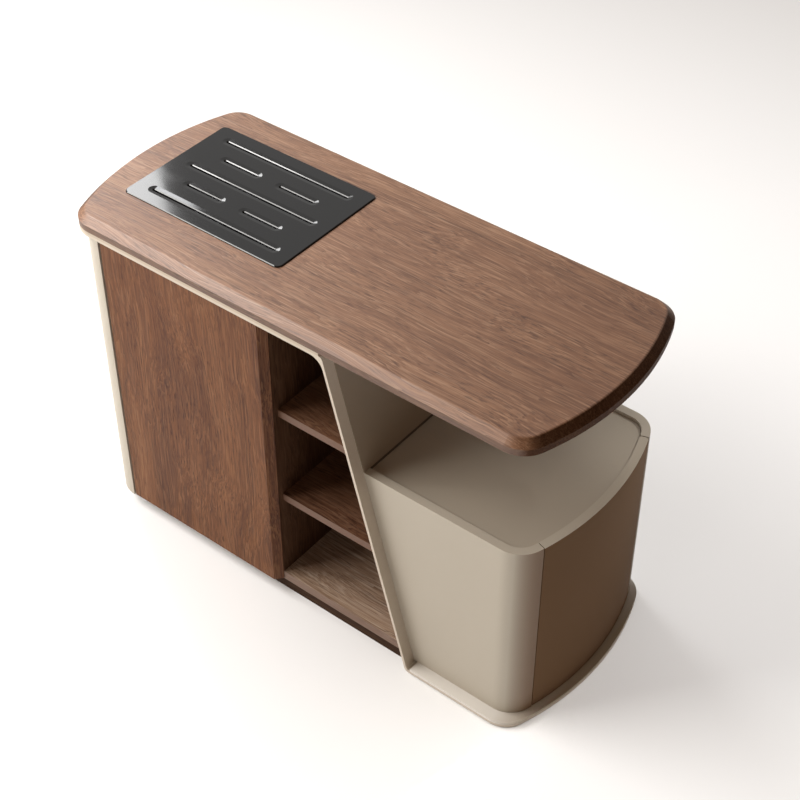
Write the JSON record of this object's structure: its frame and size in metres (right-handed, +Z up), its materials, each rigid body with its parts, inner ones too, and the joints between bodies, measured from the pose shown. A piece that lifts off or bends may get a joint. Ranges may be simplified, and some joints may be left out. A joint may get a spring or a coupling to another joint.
{
  "type": "gongfu tea table",
  "caption": "Tea table with bowed ends, a draining tray set in its top, a cupboard and open bay on the left, a leaning bent leg and a low box with a bowed end door.",
  "frame": {"origin": "centre of the table's footprint box, on the floor", "axes": "+X along the length towards the low box, -Y towards the front, +Z up"},
  "size_m": [1.2, 0.5, 0.783],
  "materials": {
    "walnut_top": "satin lacquered walnut veneer, grain along the length",
    "walnut_door": "satin lacquered walnut veneer, vertical grain",
    "beige_lacquer": "satin beige lacquer on board",
    "taupe_lacquer": "satin taupe lacquer on board",
    "dark_wood": "matt dark walnut board",
    "black_plate": "polished black",
    "silicone": "matt silicone",
    "pan_steel": "brushed sheet steel",
    "glide_plastic": "matt black plastic",
    "zinc": "zinc plated steel",
    "latch_plastic": "matt grey plastic",
    "bush_brass": "turned brass"
  },
  "bodies": {
    "table_body": {"back_panel_screws": "zinc", "base_board": "beige_lacquer", "base_glides": "glide_plastic", "bay_shelf_lower": "dark_wood", "bay_shelf_pins": "zinc", "bay_shelf_upper": "dark_wood", "box_back_shell": "beige_lacquer", "box_base_cleats": "dark_wood", "box_front_shell": "beige_lacquer", "box_top_cleats": "dark_wood", "box_top_panel": "beige_lacquer", "carcass_back": "dark_wood", "carcass_bottom": "dark_wood", "cupboard_latch_housing": "latch_plastic", "cupboard_latch_spring": "zinc", "cupboard_partition": "dark_wood", "cupboard_shelf": "dark_wood", "cupboard_shelf_pins": "zinc", "deck_board": "beige_lacquer", "end_latch_housing": "latch_plastic", "end_latch_spring": "zinc", "end_pivot_arms": "zinc", "left_end_shell": "beige_lacquer", "leg_lining": "taupe_lacquer", "lower_pivot_bracket": "zinc", "partition_dowels": "dark_wood", "plinth_back": "dark_wood", "plinth_cross_rail": "dark_wood", "plinth_end": "dark_wood", "plinth_front": "dark_wood", "slant_wall": "dark_wood", "top_board": "walnut_top", "top_fixing_screws": "zinc", "upper_pivot_bracket": "zinc", "z_band": "beige_lacquer"},
    "tray_plate_body": {"tray_plate": "black_plate", "tray_pads": "silicone"},
    "drip_pan_body": {"drip_pan": "pan_steel"},
    "cupboard_door_body": {"cupboard_door": "walnut_door", "door_pivot_bushes": "bush_brass", "cupboard_strike_plate": "zinc"},
    "end_door_body": {"end_door": "taupe_lacquer", "end_pivot_pins": "zinc", "end_strike_block": "latch_plastic"},
    "cupboard_plunger_body": {"cupboard_latch_plunger": "latch_plastic"},
    "end_plunger_body": {"end_latch_plunger": "latch_plastic"}
  },
  "joints": [
    {"name": "cupboard_door_hinge", "type": "hinge", "parent": "table_body", "child": "cupboard_door_body", "pos_m": [-0.47384, -0.243, 0.3845], "axis": [0, 0, -1], "range_deg": [0, 100]},
    {"name": "end_door_hinge", "type": "hinge", "parent": "table_body", "child": "end_door_body", "pos_m": [0.54506, 0.18773, 0.246], "axis": [0, 0, 1], "range_deg": [0, 95]},
    {"name": "pan_lift", "type": "slide", "parent": "table_body", "child": "drip_pan_body", "axis": [0, 0, 1], "range_m": [0, 0.06]},
    {"name": "tray_lift", "type": "slide", "parent": "drip_pan_body", "child": "tray_plate_body", "axis": [0, 0, 1], "range_m": [0, 0.04]},
    {"name": "cupboard_latch_travel", "type": "slide", "parent": "table_body", "child": "cupboard_plunger_body", "axis": [0, -1, 0], "range_m": [0, 0.008]},
    {"name": "end_latch_travel", "type": "slide", "parent": "table_body", "child": "end_plunger_body", "axis": [1, 0, 0], "range_m": [0, 0.008]}
  ],
  "couplings": [
    {"joint": "cupboard_latch_travel", "follows": "cupboard_door_hinge", "m_per_rad": 0.0045},
    {"joint": "end_latch_travel", "follows": "end_door_hinge", "m_per_rad": 0.0048}
  ]
}
